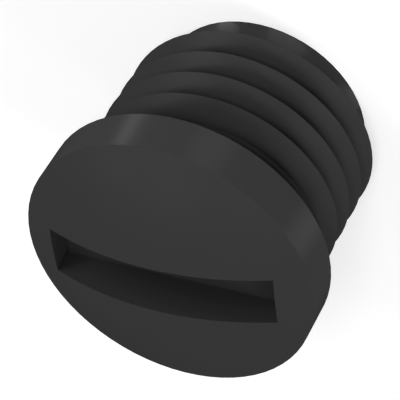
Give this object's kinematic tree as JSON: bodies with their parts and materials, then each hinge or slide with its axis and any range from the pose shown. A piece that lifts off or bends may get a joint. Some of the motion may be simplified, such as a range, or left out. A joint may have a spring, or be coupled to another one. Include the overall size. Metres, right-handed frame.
{
  "type": "connector protective cap",
  "caption": "Black moulded screw-in protective cap with a domed slotted head, a short external thread and a hollow open end.",
  "frame": {"origin": "centre of the open end of the plug, on which the cap stands", "axes": "+Z along the axis towards the domed head, +X along the screwdriver slot"},
  "size_m": [0.0092, 0.0092, 0.0085],
  "materials": {
    "moulded_black": "satin black moulded plastic"
  },
  "bodies": {
    "root": {"cap": "moulded_black"}
  },
  "joints": []
}
